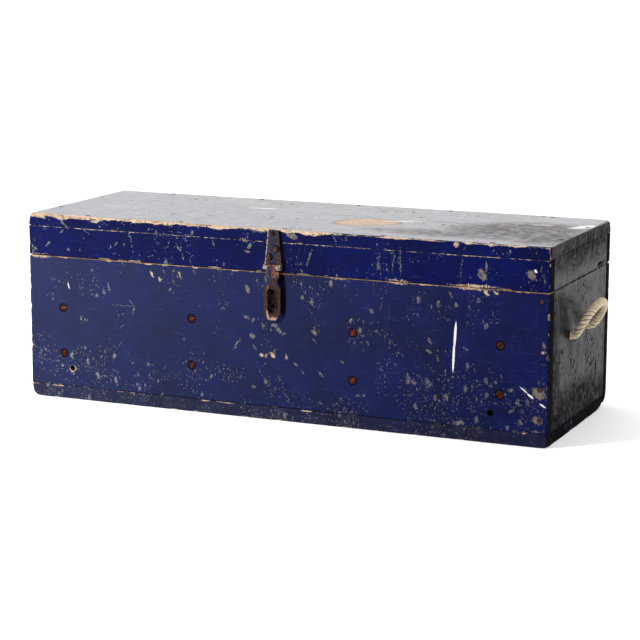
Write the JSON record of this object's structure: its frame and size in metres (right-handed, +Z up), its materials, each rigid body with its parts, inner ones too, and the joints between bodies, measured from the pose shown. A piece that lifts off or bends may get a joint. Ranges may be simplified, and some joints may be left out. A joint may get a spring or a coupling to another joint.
{
  "type": "wooden chest",
  "caption": "Low oblong wooden tool chest of nailed boards with a hinged lid, a hasp and staple, and a rope handle on each end.",
  "frame": {"origin": "on the floor, under the middle of the boards, on the bottom board's underside", "axes": "+Z up, +X along the chest towards the right end as seen from the front, the front with the hasp faces -Y"},
  "size_m": [0.9176, 0.3325, 0.287],
  "materials": {
    "painted_wood": "worn semi-gloss navy paint over pine",
    "bare_wood": "raw, darkened pine",
    "rusty_steel": "rusted",
    "painted_steel": "rusted, with the remains of navy paint",
    "rope": "laid three-strand rope"
  },
  "bodies": {
    "chest": {"bottom_board": "painted_wood", "front_board": "painted_wood", "back_board": "painted_wood", "left_end_board": "painted_wood", "right_end_board": "painted_wood", "front_upper_runner": "bare_wood", "front_lower_runner": "bare_wood", "back_upper_runner": "bare_wood", "back_lower_runner": "bare_wood", "front_runner_screws": "rusty_steel", "back_runner_screws": "rusty_steel", "front_nails": "rusty_steel", "back_nails": "rusty_steel", "bottom_nails": "rusty_steel", "left_hinge_lower_leaf": "painted_steel", "right_hinge_lower_leaf": "painted_steel", "hinge_pins": "rusty_steel", "lower_hinge_screws": "rusty_steel", "staple": "rusty_steel", "staple_plate": "painted_steel", "staple_screws": "rusty_steel", "right_rope_ends": "rope", "right_rope_knots": "rope", "left_rope_ends": "rope", "left_rope_knots": "rope"},
    "lid": {"lid_panel": "painted_wood", "lid_front_rail": "painted_wood", "lid_back_rail": "painted_wood", "lid_left_rail": "painted_wood", "lid_right_rail": "painted_wood", "lid_panel_nails": "rusty_steel", "lid_corner_nails": "rusty_steel", "left_hinge_upper_leaf": "painted_steel", "right_hinge_upper_leaf": "painted_steel", "upper_hinge_screws": "rusty_steel", "hasp_leaf": "painted_steel", "hasp_pin": "rusty_steel", "hasp_screws": "rusty_steel"},
    "hasp": {"hasp_strap": "painted_steel"},
    "right_rope": {"right_rope_loop": "rope"},
    "left_rope": {"left_rope_loop": "rope"}
  },
  "joints": [
    {"name": "lid_hinge", "type": "hinge", "parent": "chest", "child": "lid", "pos_m": [0, 0.1565, 0.2224], "axis": [-1, 0, 0], "range_deg": [0, 180]},
    {"name": "hasp_hinge", "type": "hinge", "parent": "lid", "child": "hasp", "pos_m": [-0.003, -0.1565, 0.231], "axis": [-1, 0, 0], "range_deg": [0, 160]},
    {"name": "right_rope_swing", "type": "hinge", "parent": "chest", "child": "right_rope", "pos_m": [0.426, -0.002, 0.144], "axis": [0, -1, 0], "range_deg": [-135, 28]},
    {"name": "left_rope_swing", "type": "hinge", "parent": "chest", "child": "left_rope", "pos_m": [-0.426, -0.002, 0.144], "axis": [0, 1, 0], "range_deg": [-135, 28]}
  ]
}
